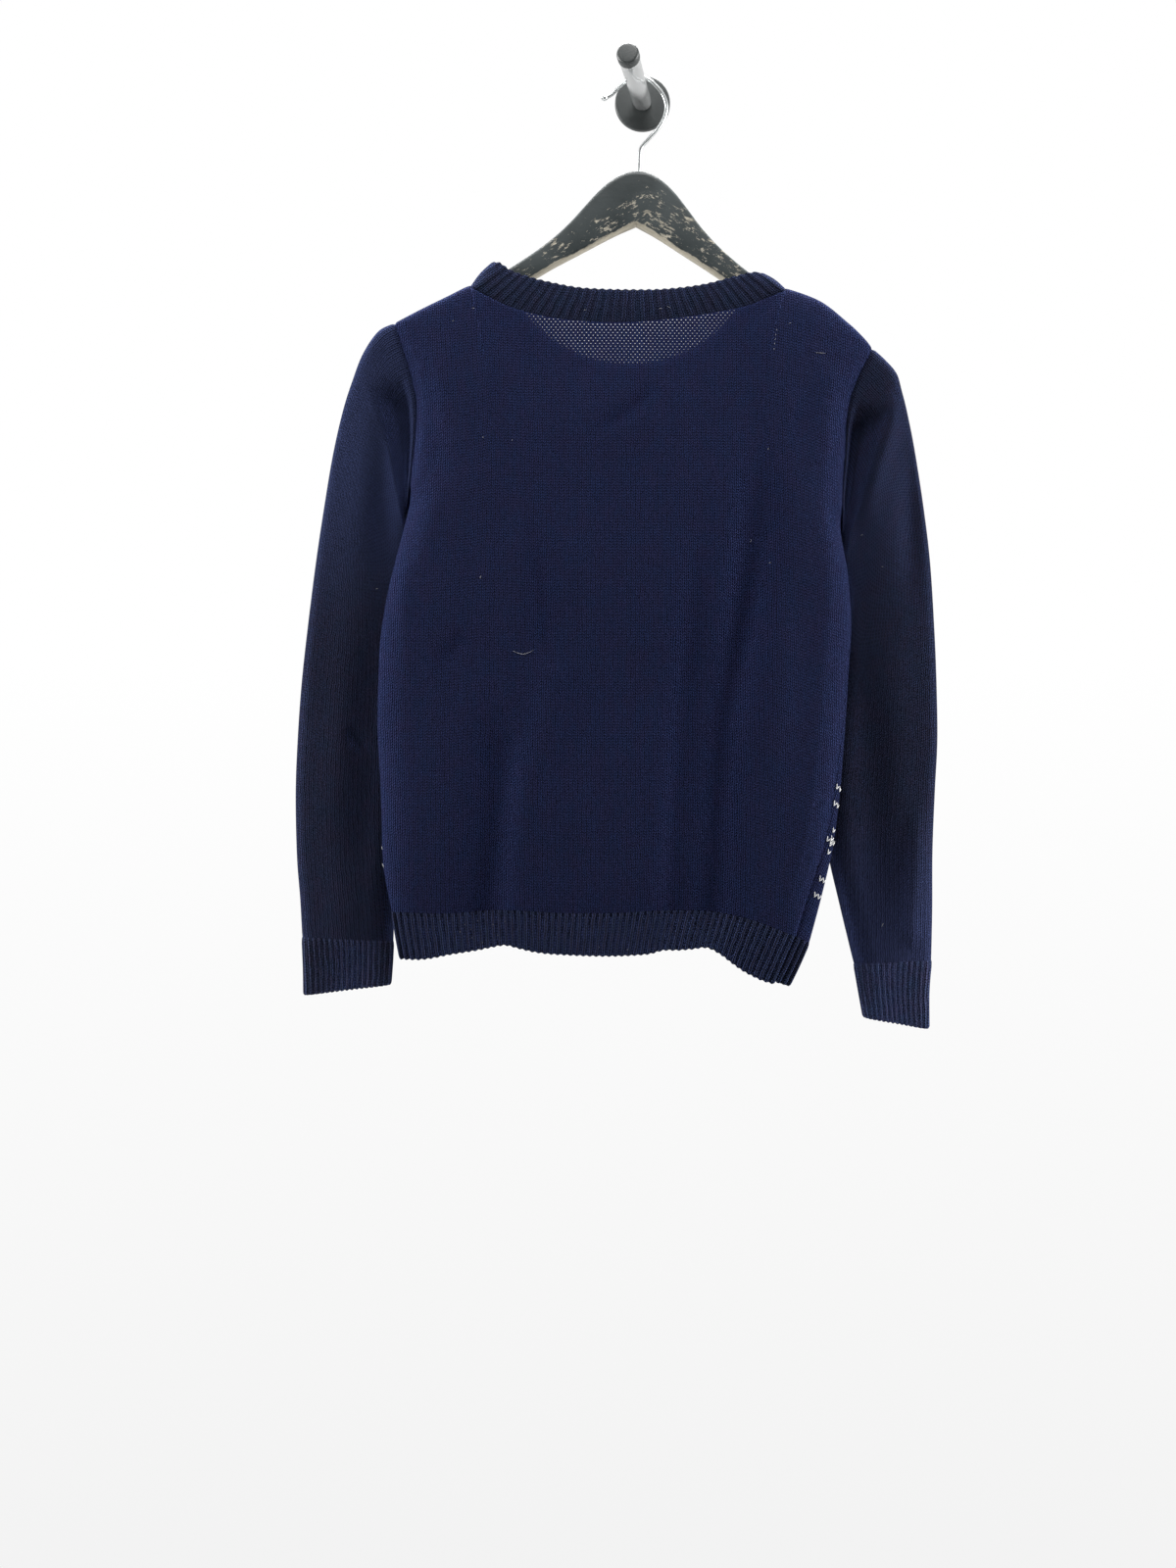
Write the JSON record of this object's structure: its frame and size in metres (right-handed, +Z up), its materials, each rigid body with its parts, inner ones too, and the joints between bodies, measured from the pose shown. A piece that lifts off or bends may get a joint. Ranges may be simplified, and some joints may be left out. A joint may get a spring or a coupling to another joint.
{
  "type": "knitted pullover on a wooden hanger and wall hook",
  "caption": "Knitted crew-neck pullover with ribbed neck, hem and cuffs, hung by a wooden hanger's wire on a wall hook with a round plate and a leaning peg.",
  "frame": {"origin": "centre of the wall plate's back face, on the wall", "axes": "+Z up, +Y into the wall, +X to the right seen from the room; the garment's back faces the room (-Y)"},
  "size_m": [0.555, 0.0916, 0.8279],
  "materials": {
    "plain_knit": "fine stockinette knit in navy yarn",
    "rib_knit": "one-by-one rib in the same navy yarn",
    "hanger_paint": "grey-black paint, worn through at the edges",
    "hanger_wire": "drawn steel wire",
    "plate_black": "satin black",
    "peg_metal": "turned and polished",
    "cap_black": "matt black cap"
  },
  "bodies": {
    "root": {"back_panel": "plain_knit", "front_panel": "plain_knit", "sleeve_left": "plain_knit", "sleeve_right": "plain_knit", "neckband": "rib_knit", "hem_rib_back": "rib_knit", "hem_rib_front": "rib_knit", "cuff_left": "rib_knit", "cuff_right": "rib_knit", "hanger_body": "hanger_paint", "hanger_hook": "hanger_wire", "wall_plate": "plate_black", "wall_peg": "peg_metal", "peg_cap": "cap_black"}
  },
  "joints": []
}
